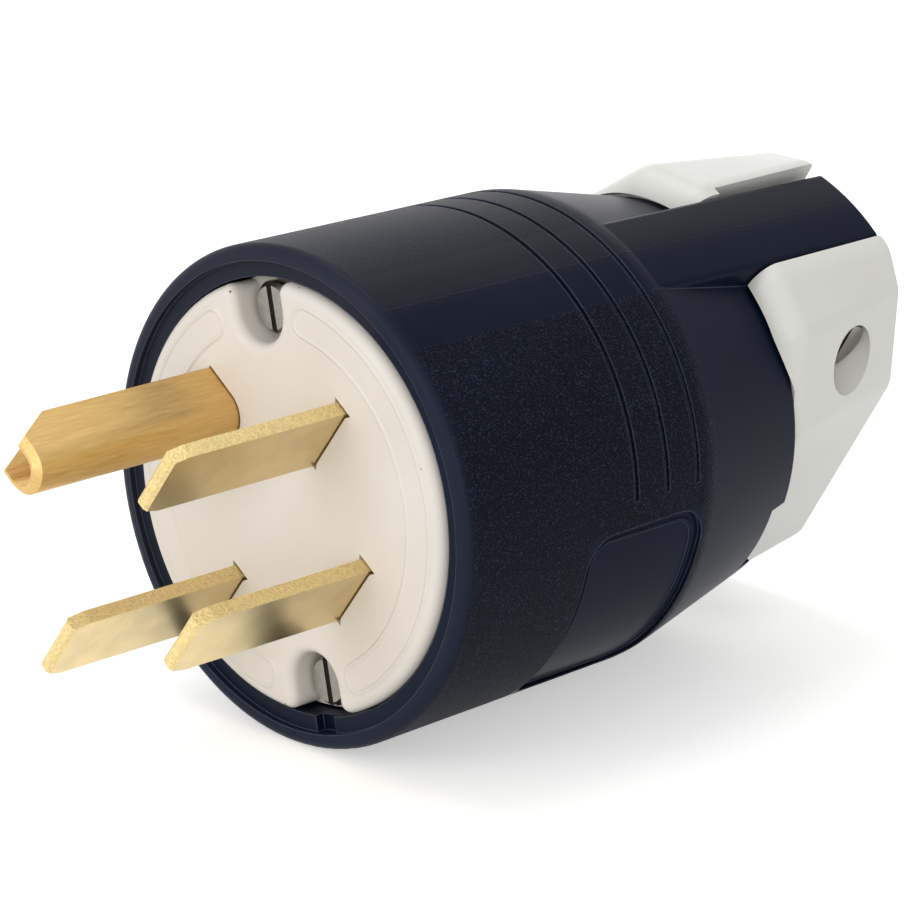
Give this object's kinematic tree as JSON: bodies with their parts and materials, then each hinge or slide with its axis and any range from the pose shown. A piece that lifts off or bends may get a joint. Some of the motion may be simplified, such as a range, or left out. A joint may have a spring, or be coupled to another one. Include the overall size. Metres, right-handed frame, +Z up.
{
  "type": "straight blade power plug",
  "caption": "Straight blade power plug with flat blades, a folded ground pin, a round moulded housing and a screw-down cord clamp.",
  "frame": {"origin": "centre of the contact carrier's front face, on the plug's axis", "axes": "+Y along the plug's axis toward the cord outlet; the blades point to -Y; +Z up with the plug lying as it comes to rest, turned 58.2 degrees about its axis from the pose with the ground pin straight up"},
  "size_m": [0.073, 0.1361, 0.073],
  "materials": {
    "housing_plastic": "moulded, finely stippled, dark navy",
    "face_plastic": "moulded, warm off-white",
    "clamp_plastic": "moulded, smooth off-white",
    "retainer_plastic": "moulded black",
    "blade_brass": "bright, lightly brushed",
    "pin_brass": "brushed along its length",
    "insert_brass": "machined",
    "screw_steel": "zinc plated",
    "ground_screw_green": "green coated"
  },
  "bodies": {
    "root": {"housing": "housing_plastic", "contact_carrier": "face_plastic", "contact_retainer": "retainer_plastic", "blade_x": "blade_brass", "blade_y": "blade_brass", "blade_z": "blade_brass", "ground_pin": "pin_brass", "terminal_screw_blade_x": "screw_steel", "terminal_plate_blade_x": "blade_brass", "terminal_screw_ground_pin": "ground_screw_green", "terminal_plate_ground_pin": "blade_brass", "terminal_screw_blade_y": "screw_steel", "terminal_plate_blade_y": "blade_brass", "terminal_screw_blade_z": "screw_steel", "terminal_plate_blade_z": "blade_brass", "face_screw_upper": "screw_steel", "threaded_insert_upper": "insert_brass", "face_screw_lower": "screw_steel", "threaded_insert_lower": "insert_brass", "clamp_jaw_screw_side": "clamp_plastic", "clamp_jaw_nut_side": "clamp_plastic", "clamp_screw_right": "screw_steel", "clamp_nut_right": "screw_steel", "clamp_screw_left": "screw_steel", "clamp_nut_left": "screw_steel"}
  },
  "joints": []
}
